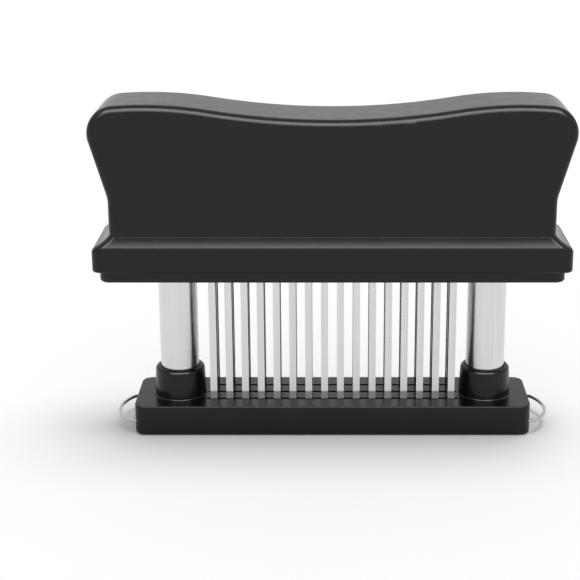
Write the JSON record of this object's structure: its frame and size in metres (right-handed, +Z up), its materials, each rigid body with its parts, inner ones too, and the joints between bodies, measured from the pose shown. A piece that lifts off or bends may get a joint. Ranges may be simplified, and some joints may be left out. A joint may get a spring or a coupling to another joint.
{
  "type": "meat tenderizer",
  "caption": "Press-down blade meat tenderizer: a black saddle-shaped handle slides on two steel posts, springs back up, and drives rows of blades through a slotted base.",
  "frame": {"origin": "on the worktop, under the middle of the base", "axes": "+X along the handle to the right, +Y to the back, +Z up along the posts"},
  "size_m": [0.1508, 0.0306, 0.1081],
  "materials": {
    "black_plastic": "gloss",
    "bush_nylon": "matte",
    "cap_plastic": "matte",
    "post_steel": "polished",
    "clip_wire": "polished",
    "blade_steel": "satin",
    "spring_steel": "satin",
    "screw_steel": "satin"
  },
  "bodies": {
    "base": {"base_body": "black_plastic", "base_sole": "black_plastic", "sole_screws": "screw_steel", "left_post": "post_steel", "right_post": "post_steel", "left_post_foot": "cap_plastic", "right_post_foot": "cap_plastic", "left_stop_cap": "cap_plastic", "right_stop_cap": "cap_plastic", "left_return_spring": "spring_steel", "right_return_spring": "spring_steel"},
    "handle": {"handle_shell": "black_plastic", "blade_plate": "black_plastic", "plate_screws": "screw_steel", "left_guide_bush": "bush_nylon", "right_guide_bush": "bush_nylon", "front_blades": "blade_steel", "middle_blades": "blade_steel", "rear_blades": "blade_steel", "front_blade_holder": "cap_plastic", "middle_blade_holder": "cap_plastic", "rear_blade_holder": "cap_plastic", "front_holder_cap": "cap_plastic", "middle_holder_cap": "cap_plastic", "rear_holder_cap": "cap_plastic"},
    "left_clip": {"left_lock_clip": "clip_wire"},
    "right_clip": {"right_lock_clip": "clip_wire"}
  },
  "joints": [
    {"name": "handle_press", "type": "slide", "parent": "base", "child": "handle", "axis": [0, 0, -1], "range_m": [0, 0.0316], "stiffness_N_per_m": 656, "springref_m": -0.01, "deforming": ["left_return_spring", "right_return_spring"]},
    {"name": "left_clip_pull", "type": "slide", "parent": "base", "child": "left_clip", "axis": [-1, 0, 0], "range_m": [0, 0.01]},
    {"name": "right_clip_pull", "type": "slide", "parent": "base", "child": "right_clip", "axis": [1, 0, 0], "range_m": [0, 0.01]}
  ]
}
